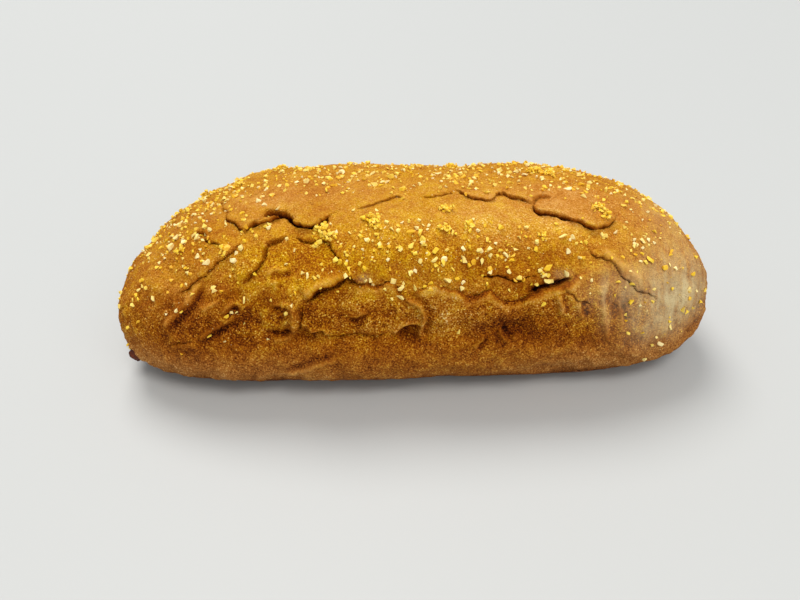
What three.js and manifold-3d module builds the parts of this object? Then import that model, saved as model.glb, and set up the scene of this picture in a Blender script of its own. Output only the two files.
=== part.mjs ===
// A dark wheat loaf, strewn with cracked maize grits, lying on its flat underside.
// Millimetres. +X runs along the loaf to the right, -Y is the front, +Z is up, and the
// origin is under the middle of the base.
//
// A place on the crust is given by `along`, the distance from the middle of the loaf, and
// `around`, the angle about the core line in degrees: 0 on the crown, 90 on the front
// waist, -90 on the back waist and 180 on the underside.
import * as THREE from "three";
import { mergeVertices } from "three/addons/utils/BufferGeometryUtils.js";
import Module from "manifold-3d";

// ---- size of the loaf -----------------------------------------------------------------
const LENGTH = 260;
const WIDTH = 115;
const HEIGHT = 75;
const WAIST_HEIGHT = 25; // height of the widest line, and of the core line, at mid-length
const WAIST_DROP = 0.24; // share of that height lost towards the tips
const UNDERCUT = 5.5; // how far the round heel would reach below the flat base

// Squareness of the curves that bound the loaf: 2 gives an ellipse, more a boxier form.
const PLAN_SQUARENESS = { left: 4.2, right: 3.5 };
const CREST_SQUARENESS = { left: 2.8, right: 3.1 };
const KEEL_SQUARENESS = 3;
const CROWN_SQUARENESS = 2.7;
const HEEL_SQUARENESS = 2.5;
const PROFILE_SQUARENESS = 3.3; // of the curve that spaces the rings of the skin

// ---- facets of the skin ---------------------------------------------------------------
const RINGS = 52;
const RING_SIDES = 56;
const SIDE_CROWDING = 0.36; // how much closer the sides lie round the front shoulder
const CROWDED_AT = 35; // where on the way around that shoulder is, in degrees

// ---- relief of the crust --------------------------------------------------------------
const CORE_HALF_LENGTH = 85; // of the line inside the loaf that the relief rises away from

// Broad rises and hollows: place, height, and reach in millimetres along and degrees around.
const SWELLS = [
  { along: -62, around: -28, rise: 1.6, reach: 28, spread: 40 }, // left back shoulder
  { along: -108, around: -15, rise: -1.6, reach: 12, spread: 50 }, // left back corner
  { along: 18, around: -28, rise: -2.6, reach: 40, spread: 34 }, // saddle of the crest
  { along: 18, around: 44, rise: 1.6, reach: 42, spread: 13 }, // smooth panel between folds
  { along: -28, around: 103, rise: 1.4, reach: 30, spread: 14 }, // belly over the heel
  { along: 56, around: 102, rise: -1.8, reach: 24, spread: 16 }, // tucked heel
  { along: -5, around: 81, rise: -2.3, reach: 55, spread: 6 }, // furrow under the long fold
  { along: -42.5, around: 81, rise: -2, reach: 5.5, spread: 3.2 }, // dimples in that furrow
  { along: -2.3, around: 83.2, rise: -2.4, reach: 4.6, spread: 3 },
  { along: 40, around: 78.4, rise: -2.4, reach: 6.5, spread: 4.2 },
  { along: -55.5, around: 79.5, rise: -1.6, reach: 5, spread: 3.6 },
  { along: -80, around: 56, rise: -1, reach: 12, spread: 5 },
  { along: -60, around: 72, rise: -1.2, reach: 12, spread: 8 },
  { along: -37, around: 51, rise: -1.6, reach: 11, spread: 7 }, // sunken patch on the left
  { along: 50, around: -72, rise: 1.5, reach: 34, spread: 12 }, // the back, by the same hand
  { along: -48, around: -84, rise: -1.5, reach: 36, spread: 8 },
  { along: -20, around: -58, rise: 1.2, reach: 26, spread: 12 },
];

// Gentle unevenness everywhere: height, wavelengths along and across, and a shift.
const WAVES = [
  { height: 0.45, along: 61, across: 74, shift: 0.4 },
  { height: 0.3, along: 37, across: -46, shift: 1.9 },
  { height: 0.22, along: 23, across: 31, shift: 3.1 },
];
const HEEL_BAND = { bare: 1.5, full: 12 }; // heights between which the relief fades in

// Cracks. A route runs from left to right, or from the top down where it is upright, as
// [along, around] places. `upper` and `lower` are how far the crust stands up on the crown
// side and on the waist side, fading over `reach`. The mouth is `width` wide and the cut
// `depth` deep, and its root lies `lean` further under the crown side.
const CRACKS = [
  { // over the back of the left shoulder
    route: [[-83, -6], [-79, 12], [-74.6, 26]],
    width: 1, depth: 1.1, lean: 0.3, upper: 0.7, lower: -0.3, reach: 7,
  },
  { // the flap of the left shoulder, in two stretches that meet in a point
    route: [[-76, 23], [-71.3, 28.4], [-64.8, 35.6]],
    width: 1.4, depth: 2.2, lean: 1, upper: 1.5, lower: -0.3, reach: 8,
  },
  {
    route: [
      [-65.4, 36.2], [-58.1, 29.4], [-52.1, 27.6], [-46.6, 30.9],
      [-42.5, 34.5], [-34.1, 34], [-29.5, 30],
    ],
    width: 2.6, depth: 4.2, lean: 2.2, upper: 2.4, lower: -0.5, reach: 10,
  },
  { // the hollow over that flap
    route: [[-59, 27], [-55.5, 25], [-51.5, 25], [-48, 28]],
    width: 4, depth: 4.6, lean: 0, upper: 0, lower: 0, reach: 4,
  },
  { // the arc that hangs from its right end
    route: [[-45.4, 39.4], [-38, 42.6], [-32, 44.6], [-28.6, 48.7], [-25, 54]],
    width: 1.3, depth: 1.7, lean: 0.4, upper: 0.8, lower: -0.4, reach: 6,
  },
  { // the groove left of that arc
    route: [[-66.4, 57.9], [-58.4, 53.6], [-55.3, 43.3], [-46.5, 39.6]],
    width: 1.4, depth: 2.2, lean: 0.3, upper: 1.1, lower: -0.4, reach: 6,
  },
  { // shoulder cracks to the left of it
    route: [[-88.2, 30.4], [-80.7, 37.6], [-73, 42]],
    width: 1.1, depth: 1.5, lean: 0.6, upper: 1, lower: -0.3, reach: 6,
  },
  {
    route: [[-93, 62], [-78, 51], [-70, 45.5], [-65, 39.5]],
    width: 1.4, depth: 1.9, lean: 0.4, upper: 1, lower: -0.4, reach: 8,
  },
  { // the long fold of the front, in three stretches
    route: [[-41, 66.6], [-34.6, 61.8], [-26.7, 59.3], [-20, 61]],
    width: 2, depth: 3, lean: 1, upper: 1.5, lower: 0.2, reach: 8,
  },
  {
    route: [[-22.5, 60.3], [-10.3, 60], [-5.1, 63.3], [-2.4, 65.6]],
    width: 1.3, depth: 1.4, lean: 0.2, upper: -0.5, lower: 1.5, reach: 7,
  },
  {
    route: [
      [-4, 65.6], [4, 62.3], [13.6, 62.2], [21.5, 65.3], [29.7, 64.3],
      [39.4, 67], [50.5, 63.9], [63.8, 57.5], [69, 56.3],
    ],
    width: 1.2, depth: 1, lean: 0.2, upper: -0.8, lower: 2, reach: 7,
  },
  { // the gap above its right end, and the pocket that it opens into
    route: [[24.5, 56.5], [34.6, 59.4], [42.2, 59.5], [48, 57.7]],
    width: 1.8, depth: 2.6, lean: 0.8, upper: 0.6, lower: 1, reach: 5,
  },
  {
    route: [[42, 62.5], [47, 64], [53, 61.6], [61, 58.4]],
    width: 3.8, depth: 4.2, lean: 0.6, upper: -0.2, lower: 1, reach: 5,
  },
  { // the ragged edge over the belly, below the long fold
    route: [[-45, 79], [-35.7, 78.4], [-26, 81], [-9, 81]],
    width: 1.3, depth: 1.3, lean: 0.3, upper: 0.9, lower: -0.5, reach: 6,
  },
  { // upright crease at its left end
    route: [[-43.8, 67.5], [-43, 75], [-44.5, 79]],
    width: 2.4, depth: 1.9, lean: 0, upper: -0.3, lower: 0.8, reach: 4,
  },
  { // creases along the crown
    route: [[-22, 27.5], [-14, 24.5], [-7, 17.5], [-0.5, 21.5]],
    width: 1, depth: 1.4, lean: 0.7, upper: 1, lower: -0.2, reach: 7,
  },
  {
    route: [[5, 18], [9.5, 20], [14, 18.5], [19, 14.5]],
    width: 1, depth: 1.2, lean: 0.6, upper: 0.8, lower: -0.2, reach: 6,
  },
  {
    route: [[17.7, 14.2], [25.1, 20.1], [31.7, 22], [36.8, 17.6], [45.1, 21], [49.3, 25.3]],
    width: 1.3, depth: 2, lean: 1.2, upper: 1.6, lower: -0.2, reach: 7,
  },
  { // the long one under the flap of the right shoulder
    route: [[48.6, 25.4], [51.5, 30], [61.9, 32.3], [70.2, 36.9], [79.5, 33.5], [84, 29.5]],
    width: 2.2, depth: 3.8, lean: 2.2, upper: 2.4, lower: -0.4, reach: 9,
  },
  {
    route: [[59.3, 16.5], [51.8, 21.5], [49, 25.1]],
    width: 0.9, depth: 1.3, lean: 0, upper: -0.4, lower: 0.9, reach: 5,
  },
  { // the slanting crack of the right end
    route: [[67.5, 46], [75.6, 52.8], [84.1, 60.2], [92, 65.5], [97, 69.5]],
    width: 1.3, depth: 2, lean: 0.5, upper: 1.1, lower: -0.2, reach: 6,
  },
  { // the back of the loaf
    route: [[-84, -54], [-68, -60], [-48, -57], [-30, -64], [-14, -60]],
    width: 1.8, depth: 3, lean: 1.2, upper: 1.8, lower: -0.4, reach: 9,
  },
  {
    route: [[26, -60], [40, -66], [56, -62], [72, -68]],
    width: 1.5, depth: 2.4, lean: 0.8, upper: 1.4, lower: -0.4, reach: 8,
  },
];
const CRACK_STEP = 4.6; // spacing of the places that a crack is laid out by
const CRACK_ENDS = 0.16; // share of a crack over which each end runs out
const CRACK_TIP = 0.12; // share of its width and depth left at the very end
const CRACK_SHOULDER = 2.2; // the crust steps from one side to the other over twice this
const CRACK_CLEARANCE = 3; // how far the cut is carried out above the crust
const CRACK_RAGGEDNESS = [{ sway: 0.6, length: 21 }, { sway: 0.45, length: 11.5 }];

// Rounded ridges with no cut: a route, the height and the half width.
const RIDGES = [
  { route: [[-2.8, 65.1], [2.1, 68.3], [4.7, 73.6], [3, 85]], rise: 1.5, half: 2.4 },
  { route: [[-8, 82], [-3, 77.2], [3.5, 75.9]], rise: 1.2, half: 2.4 },
  { route: [[-45.3, 67], [-45.9, 75.1], [-46.8, 80]], rise: 1.4, half: 2.4 },
  { route: [[77, 59.5], [73.3, 63], [74.1, 73.3], [78, 88]], rise: 1.3, half: 2.4 },
  { route: [[62.5, 68], [66, 75]], rise: 0.9, half: 2.2 },
  { route: [[54.9, 65.4], [57.4, 73]], rise: 0.9, half: 2.2 },
  { route: [[-83.3, 56.2], [-89.1, 65.2], [-99.3, 74.7]], rise: 1.1, half: 2.4 },
  { route: [[-85, 79.8], [-79.2, 75.9], [-68, 71.5]], rise: 1, half: 2.4 },
  { route: [[73, 46.5], [84, 56.5], [90, 60]], rise: 0.8, half: 2.4 },
  { route: [[-70, -78], [-66, -90], [-68, -98]], rise: 1.1, half: 2.4 },
  { route: [[30, -76], [34, -86], [32, -96]], rise: 1.1, half: 2.4 },
  { route: [[-30, -72], [-14, -76], [4, -73]], rise: 1, half: 2.2 },
];

// ---- grits ----------------------------------------------------------------------------
// Where they lie: ellipses on the crust, in millimetres along and degrees around, and how
// thickly each is strewn. Between them the crust is strewn at the thin rate.
const STREWN = [
  { along: 0, around: -32, half: 118, sweep: 46, share: 1 }, // crest and back
  { along: -96, around: 12, half: 30, sweep: 48, share: 1 }, // left shoulder
  { along: 22, around: 46, half: 52, sweep: 15, share: 0.9 }, // band through the middle
  { along: 96, around: 18, half: 24, sweep: 40, share: 0.55 }, // right shoulder
];
const THIN_SHARE = 0.12;
const BARE_BELOW = 9; // no grits lower than this
const GRIT_COUNT = 104;
const GRIT_GAP = 6; // the closest that two grits lie
const GRIT_RADIUS = { least: 1.05, most: 1.55 };
const GRIT_SEED = 20241;
// Grits stuck together in a clump: place, count and radius of the clump.
const CLUMPS = [
  { along: -13.5, around: 38.5, count: 5, radius: 2.6 },
  { along: -32.5, around: 39, count: 4, radius: 2.4 },
  { along: 61, around: -28, count: 4, radius: 2.8 },
  { along: 79, around: 13, count: 3, radius: 2.4 },
];
const BURNT_NUB = { along: -120.6, around: 97.5, radius: 2.9, sunk: 0.9 };

// ---- the form -------------------------------------------------------------------------

/** Height over its chord of a superellipse of the given squareness, at -1 <= t <= 1. */
function bow(t, squareness) {
  return Math.max(0, 1 - Math.abs(t) ** squareness) ** (1 / squareness);
}

/** The smooth form of the loaf at a place, before any relief. */
function formPoint(along, around) {
  const t = THREE.MathUtils.clamp(along / (LENGTH / 2), -1, 1);
  const end = t < 0 ? "left" : "right";
  const angle = THREE.MathUtils.degToRad(around);
  const sine = Math.sin(angle);
  const cosine = Math.cos(angle);
  const above = cosine > 0;
  const rise = above
    ? (HEIGHT - WAIST_HEIGHT) * bow(t, CREST_SQUARENESS[end])
    : (WAIST_HEIGHT + UNDERCUT) * bow(t, KEEL_SQUARENESS);
  const half = (WIDTH / 2) * bow(t, PLAN_SQUARENESS[end]);
  if (rise === 0 || half === 0) {
    return new THREE.Vector3(along, 0, coreHeight(t));
  }
  const power = above ? CROWN_SQUARENESS : HEEL_SQUARENESS;
  const radius = (Math.abs(sine / half) ** power + Math.abs(cosine / rise) ** power) ** (-1 / power);
  return new THREE.Vector3(along, -radius * sine, coreHeight(t) + radius * cosine);
}

/** Height of the core line at t, the share of the half length. */
function coreHeight(t) {
  return WAIST_HEIGHT * (1 - WAIST_DROP * t * t);
}

/** Direction in which the crust rises at a point: straight away from the core line. */
function outward(point) {
  const along = THREE.MathUtils.clamp(point.x, -CORE_HALF_LENGTH, CORE_HALF_LENGTH);
  const core = new THREE.Vector3(along, 0, coreHeight(along / (LENGTH / 2)));
  return point.clone().sub(core).normalize();
}

/** Side view of the loaf from tip to tip. Even steps along it space the rings. */
class Profile extends THREE.Curve {
  getPoint(share, target = new THREE.Vector3()) {
    const polar = Math.PI * share;
    const across = Math.sin(polar);
    const reach = (Math.abs(Math.cos(polar)) ** PROFILE_SQUARENESS
      + across ** PROFILE_SQUARENESS) ** (-1 / PROFILE_SQUARENESS);
    const girth = (WIDTH + HEIGHT) / 4;
    return target.set((LENGTH / 2) * Math.cos(polar) * reach, 0, girth * across * reach);
  }
}

// ---- the relief -----------------------------------------------------------------------

/** How far a crack strays to the side at a run along its route. */
function straying(run, waves, phase) {
  return waves.reduce(
    (sum, { sway, length }, turn) => sum + sway * Math.sin((2 * Math.PI * run) / length + phase * (turn + 1)),
    0,
  );
}

/** Places along a route, a step apart, each with its frame on the smooth form. */
function layOut(route, waves, phase) {
  const line = new THREE.SplineCurve(route.map(([along, around]) => new THREE.Vector2(along, around)));
  const count = Math.max(3, Math.round(line.getLength() / CRACK_STEP));
  const places = line.getSpacedPoints(count).map(({ x, y }) => formPoint(x, y));
  return places.map((place, index) => {
    const before = places[Math.max(0, index - 1)];
    const after = places[Math.min(count, index + 1)];
    const up = outward(place);
    const across = up.clone().cross(after.clone().sub(before)).normalize();
    const point = place.clone().addScaledVector(across, straying(index * CRACK_STEP, waves, phase));
    return { point, up, across, share: index / count };
  });
}

/** How fully a crack or ridge is there at a share of its route: it runs out at its ends. */
function fullness(share) {
  const inside = Math.min(share, 1 - share) / CRACK_ENDS;
  return CRACK_TIP + (1 - CRACK_TIP) * THREE.MathUtils.smoothstep(inside, 0, 1);
}

/** Signed distance from a point to a laid out route, and the fullness at the foot of it. */
function measure(point, stations) {
  let nearest = Infinity;
  let found = null;
  const foot = new THREE.Vector3();
  for (let index = 1; index < stations.length; index += 1) {
    const from = stations[index - 1];
    const stretch = new THREE.Line3(from.point, stations[index].point);
    const run = stretch.closestPointToPointParameter(point, true);
    stretch.at(run, foot);
    const distance = foot.distanceTo(point);
    if (distance < nearest) {
      nearest = distance;
      const side = Math.sign(point.clone().sub(foot).dot(from.across)) || 1;
      const share = THREE.MathUtils.lerp(from.share, stations[index].share, run);
      found = { distance: side * distance, full: fullness(share) };
    }
  }
  return found;
}

const laidCracks = CRACKS.map((crack, index) => ({
  ...crack,
  stations: layOut(crack.route, CRACK_RAGGEDNESS, index),
}));
const laidRidges = RIDGES.map((ridge) => ({
  ...ridge,
  stations: layOut(ridge.route, [], 0),
}));

/** How far the crust stands out from the smooth form at a place. */
function relief(along, around, point) {
  let height = 0;
  for (const swell of SWELLS) {
    const x = (along - swell.along) / swell.reach;
    const y = (around - swell.around) / swell.spread;
    height += swell.rise * Math.exp(-x * x - y * y);
  }
  for (const wave of WAVES) {
    const turns = point.x / wave.along + (point.y + point.z) / wave.across;
    height += wave.height * Math.sin(2 * Math.PI * turns + wave.shift);
  }
  for (const crack of laidCracks) {
    const { distance, full } = measure(point, crack.stations);
    const step = THREE.MathUtils.smoothstep(distance, -CRACK_SHOULDER, CRACK_SHOULDER);
    const side = THREE.MathUtils.lerp(crack.lower, crack.upper, step);
    height += full * side * Math.exp(-((distance / crack.reach) ** 2));
  }
  for (const ridge of laidRidges) {
    const { distance, full } = measure(point, ridge.stations);
    height += full * ridge.rise * Math.exp(-((distance / ridge.half) ** 2));
  }
  return height * THREE.MathUtils.smoothstep(point.z, HEEL_BAND.bare, HEEL_BAND.full);
}

/** The crust at a place, relief included. */
function crustPoint(along, around) {
  const point = formPoint(along, around);
  return point.clone().addScaledVector(outward(point), relief(along, around, point));
}

// ---- solids ---------------------------------------------------------------------------
const wasm = await Module();
wasm.setup();

/** A solid for joining and cutting, from a closed three.js geometry. */
function solidOf(geometry) {
  const bare = geometry.clone();
  bare.deleteAttribute("normal");
  bare.deleteAttribute("uv");
  const merged = mergeVertices(bare, 1e-4);
  return new wasm.Manifold(new wasm.Mesh({
    numProp: 3,
    vertProperties: new Float32Array(merged.attributes.position.array),
    triVerts: new Uint32Array(merged.index.array),
  }));
}

/** A three.js geometry from a solid. */
function geometryOf(solid) {
  const mesh = solid.getMesh();
  const geometry = new THREE.BufferGeometry();
  geometry.setAttribute("position", new THREE.BufferAttribute(mesh.vertProperties, mesh.numProp));
  geometry.setIndex(new THREE.BufferAttribute(mesh.triVerts, 1));
  geometry.computeVertexNormals();
  return geometry;
}

/** Moves every vertex of a geometry to where `place` puts it. */
function reshape(geometry, place) {
  const position = geometry.attributes.position;
  const vertex = new THREE.Vector3();
  for (let index = 0; index < position.count; index += 1) {
    vertex.fromBufferAttribute(position, index);
    const { x, y, z } = place(vertex);
    position.setXYZ(index, x, y, z);
  }
  return geometry;
}

/** The crust with its relief, from a sphere with its poles at the tips, cut flat below. */
function crustSolid() {
  const profile = new Profile();
  profile.arcLengthDivisions = 1000;
  const skin = new THREE.SphereGeometry(1, RING_SIDES, RINGS).rotateZ(-Math.PI / 2);
  reshape(skin, (unit) => {
    const polar = Math.acos(THREE.MathUtils.clamp(unit.x, -1, 1));
    const side = Math.atan2(-unit.y, unit.z);
    const { x: along } = profile.getPointAt(polar / Math.PI);
    const shoulder = THREE.MathUtils.degToRad(CROWDED_AT);
    const around = side - SIDE_CROWDING * Math.sin(side - shoulder);
    return crustPoint(along, THREE.MathUtils.radToDeg(around));
  });
  const slab = new THREE.BoxGeometry(2 * LENGTH, 2 * WIDTH, 2 * HEIGHT).translate(0, 0, HEIGHT);
  return solidOf(skin).intersect(solidOf(slab));
}

/** The wedge that is cut out along a crack: a three-sided bar bent along its stations. */
function crackCutter(crack) {
  const { stations } = crack;
  const steps = stations.length - 1;
  const bar = new THREE.CylinderGeometry(1, 1, steps, 3, steps).translate(0, steps / 2, 0);
  return reshape(bar, ({ x, y, z }) => {
    const { point, up, across, share } = stations[Math.round(y)];
    const full = fullness(share);
    const { along, around } = placeOf(point);
    const place = point.clone().addScaledVector(up, relief(along, around, point));
    if (z > 0.5) {
      return place.addScaledVector(across, crack.lean * full).addScaledVector(up, -crack.depth * full);
    }
    const carried = CRACK_CLEARANCE / crack.depth;
    const half = (crack.width / 2) * full * (1 + carried);
    return place.addScaledVector(across, Math.sign(x) * half - crack.lean * carried)
      .addScaledVector(up, CRACK_CLEARANCE);
  });
}

/** `along` and `around` of a point near the crust. */
function placeOf(point) {
  const height = coreHeight(point.x / (LENGTH / 2));
  return { along: point.x, around: THREE.MathUtils.radToDeg(Math.atan2(-point.y, point.z - height)) };
}

// ---- grits ----------------------------------------------------------------------------

/** Random numbers that come out the same each time. */
function drawFrom(seed) {
  let state = seed;
  return (low, high) => {
    state = (Math.imul(state, 1664525) + 1013904223) >>> 0;
    return low + (high - low) * (state / 2 ** 32);
  };
}

/** How thickly grits lie at a place, from 0 to 1. */
function strewnShare(along, around) {
  const shares = STREWN.map((patch) => {
    const x = (along - patch.along) / patch.half;
    const y = (around - patch.around) / patch.sweep;
    return x * x + y * y < 1 ? patch.share : THIN_SHARE;
  });
  return Math.max(...shares);
}

/** Places for single grits, never closer to each other than the gap. */
function gritPlaces(draw) {
  const places = [];
  while (places.length < GRIT_COUNT) {
    const along = draw(-LENGTH / 2, LENGTH / 2) * 0.985;
    const around = draw(-105, 105);
    const chance = draw(0, 1);
    const point = formPoint(along, around);
    const crowded = places.some((other) => other.point.distanceTo(point) < GRIT_GAP);
    if (!crowded && point.z > BARE_BELOW && chance < strewnShare(along, around)) {
      places.push({ along, around, point });
    }
  }
  return places;
}

/** A chip of maize: a rough block with uneven corners, sunk into the crust at a point. */
function gritSolid(point, radius, draw) {
  const side = 1.25 * radius;
  const block = new THREE.BoxGeometry(side, side, side).deleteAttribute("normal").deleteAttribute("uv");
  const chip = mergeVertices(block, 1e-4);
  reshape(chip, (corner) => corner.clone().multiplyScalar(draw(0.7, 1.2)));
  chip.scale(draw(1, 1.45), draw(0.8, 1.05), draw(0.7, 1));
  chip.rotateX(draw(0, Math.PI)).rotateY(draw(0, Math.PI)).rotateZ(draw(0, Math.PI));
  chip.translate(point.x, point.y, point.z);
  return solidOf(chip);
}

function gritSolids() {
  const draw = drawFrom(GRIT_SEED);
  const grits = gritPlaces(draw).map(({ along, around }) => {
    const radius = draw(GRIT_RADIUS.least, GRIT_RADIUS.most);
    const point = crustPoint(along, around);
    return gritSolid(point.addScaledVector(outward(point), 0.25 * radius), radius, draw);
  });
  for (const clump of CLUMPS) {
    const centre = crustPoint(clump.along, clump.around);
    for (let index = 0; index < clump.count; index += 1) {
      const turn = (index / clump.count) * 2 * Math.PI;
      const along = clump.along + 0.6 * clump.radius * Math.cos(turn);
      const around = clump.around + 0.6 * clump.radius * Math.sin(turn);
      const point = crustPoint(along, around).lerp(centre, 0.2);
      const radius = 0.5 * clump.radius * draw(0.9, 1.2);
      grits.push(gritSolid(point.addScaledVector(outward(point), 0.4 * radius), radius, draw));
    }
  }
  return grits;
}

/** The burnt nub at the foot of the left end. */
function nubSolid() {
  const nub = new THREE.IcosahedronGeometry(BURNT_NUB.radius, 1).scale(0.9, 0.8, 1.15);
  const place = crustPoint(BURNT_NUB.along, BURNT_NUB.around);
  place.addScaledVector(outward(place), -BURNT_NUB.sunk);
  return solidOf(nub.translate(place.x, place.y, place.z));
}

// ---- the loaf -------------------------------------------------------------------------

/** The largest piece of a solid: scraps that a cut leaves loose are dropped. */
function largestPiece(solid) {
  return solid.decompose().reduce((best, piece) => (piece.volume() > best.volume() ? piece : best));
}

/** The whole loaf in one solid: crust, cracks cut into it and grits fused on. */
function loaf() {
  let solid = crustSolid();
  for (const crack of laidCracks) {
    solid = solid.subtract(solidOf(crackCutter(crack)));
  }
  for (const lump of [nubSolid(), ...gritSolids()]) {
    solid = solid.add(lump);
  }
  const material = new THREE.MeshStandardMaterial({ color: 0x9b5e1c, roughness: 0.85, metalness: 0 });
  const mesh = new THREE.Mesh(geometryOf(largestPiece(solid)), material);
  mesh.name = "loaf";
  return mesh;
}

const group = new THREE.Group();
group.add(loaf());
export default group;
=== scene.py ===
"""The looks of a dark wheat loaf: creased brown crust and the maize grits strewn on it."""
import math

import bmesh
import bpy
import numpy as np
from mathutils import Matrix, Vector, noise
from mathutils.bvhtree import BVHTree


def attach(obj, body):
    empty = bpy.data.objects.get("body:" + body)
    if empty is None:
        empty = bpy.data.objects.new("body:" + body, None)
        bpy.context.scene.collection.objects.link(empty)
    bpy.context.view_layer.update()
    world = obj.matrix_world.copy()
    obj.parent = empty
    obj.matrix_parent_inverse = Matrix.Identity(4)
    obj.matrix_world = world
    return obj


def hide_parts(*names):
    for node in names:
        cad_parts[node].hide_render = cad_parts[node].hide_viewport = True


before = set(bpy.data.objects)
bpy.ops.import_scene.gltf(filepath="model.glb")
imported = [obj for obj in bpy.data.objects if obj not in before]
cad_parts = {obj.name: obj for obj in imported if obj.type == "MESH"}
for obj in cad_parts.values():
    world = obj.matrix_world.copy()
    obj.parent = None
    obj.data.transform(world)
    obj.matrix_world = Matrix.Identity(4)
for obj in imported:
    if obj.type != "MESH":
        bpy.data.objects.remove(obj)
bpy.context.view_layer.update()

# Lengths are in millimetres until a mesh is finished. A place on the crust is given by
# `along`, the distance from the middle of the loaf, and `around`, the angle about the core
# line in degrees: 0 on the crown, 90 on the front waist and -90 on the back waist.
MM = 0.001
MM2_PER_CM2 = 100.0

# ---- size of the loaf ----
LENGTH = 260.0
WIDTH = 115.0
HEIGHT = 75.0
WAIST_HEIGHT = 25.0  # height of the widest line, and of the core line, at mid-length
WAIST_DROP = 0.24  # share of that height lost towards the tips
UNDERCUT = 5.5  # how far the round heel would reach below the flat base
PLAN_SQUARENESS = (4.2, 3.5)  # left and right: 2 gives an ellipse, more a boxier form
CREST_SQUARENESS = (2.8, 3.1)
KEEL_SQUARENESS = 3.0
CROWN_SQUARENESS = 2.7
HEEL_SQUARENESS = 2.5
PROFILE_SQUARENESS = 3.3  # of the curve that spaces the rings of the skin
CORE_HALF_LENGTH = 85.0  # of the line inside the loaf that the relief rises away from

# ---- mesh of the skin ----
RINGS = 160
RING_SIDES = 176
SIDE_CROWDING = 0.36  # how much closer the sides lie round the front shoulder
CROWDED_AT = 35.0  # where on the way around that shoulder is, in degrees
# The skin is split once over this part of the way around and within the first of the reaches
# of a crack or ridge, and once more within the second.
FINE_FROM, FINE_TO = -75.0, 112.0
FINE_REACHES = (4.0, 2.0)
PROFILE_STEPS = 2001  # places along the profile by which the rings are spaced

# ---- broad relief: along, around, rise, reach along in mm, spread around in degrees ----
SWELLS = (
    (-62, -28, 1.6, 28, 40),  # left back shoulder
    (-108, -15, -1.6, 12, 50),  # left back corner
    (18, -28, -2.6, 40, 34),  # saddle of the crest
    (18, 44, 1.6, 42, 13),  # smooth panel between the folds
    (-28, 103, 1.4, 30, 14),  # belly over the heel
    (56, 102, -1.8, 24, 16),  # tucked heel
    (-5, 81, -2.3, 55, 6),  # furrow under the long fold
    (-42.5, 81, -2.0, 5.5, 3.2),  # dents and hollows of the front
    (-2.3, 83.2, -2.1, 5, 3.4),
    (40, 78.4, -2.4, 6.5, 4.2),
    (44, 62.8, -1.1, 8, 2.4),
    (-32, 64.5, -1.2, 8, 2.6),
    (-55.5, 79.5, -1.1, 5, 3.6),
    (-70, 60, -1.2, 4, 4),
    (-80, 56, -1.0, 12, 5),
    (-60, 72, -1.2, 12, 8),
    (-37, 51, -1.6, 11, 7),
    (50, -72, 1.5, 34, 12),  # the back
    (-48, -84, -1.5, 36, 8),
    (-20, -58, 1.2, 26, 12),
)
# Gentle unevenness everywhere: height, wavelengths along and across, and a shift.
WAVES = ((0.45, 61, 74, 0.4), (0.3, 37, -46, 1.9), (0.22, 23, 31, 3.1))
HEEL_BARE, HEEL_FULL = 1.5, 12.0  # heights between which the relief fades in

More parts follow.
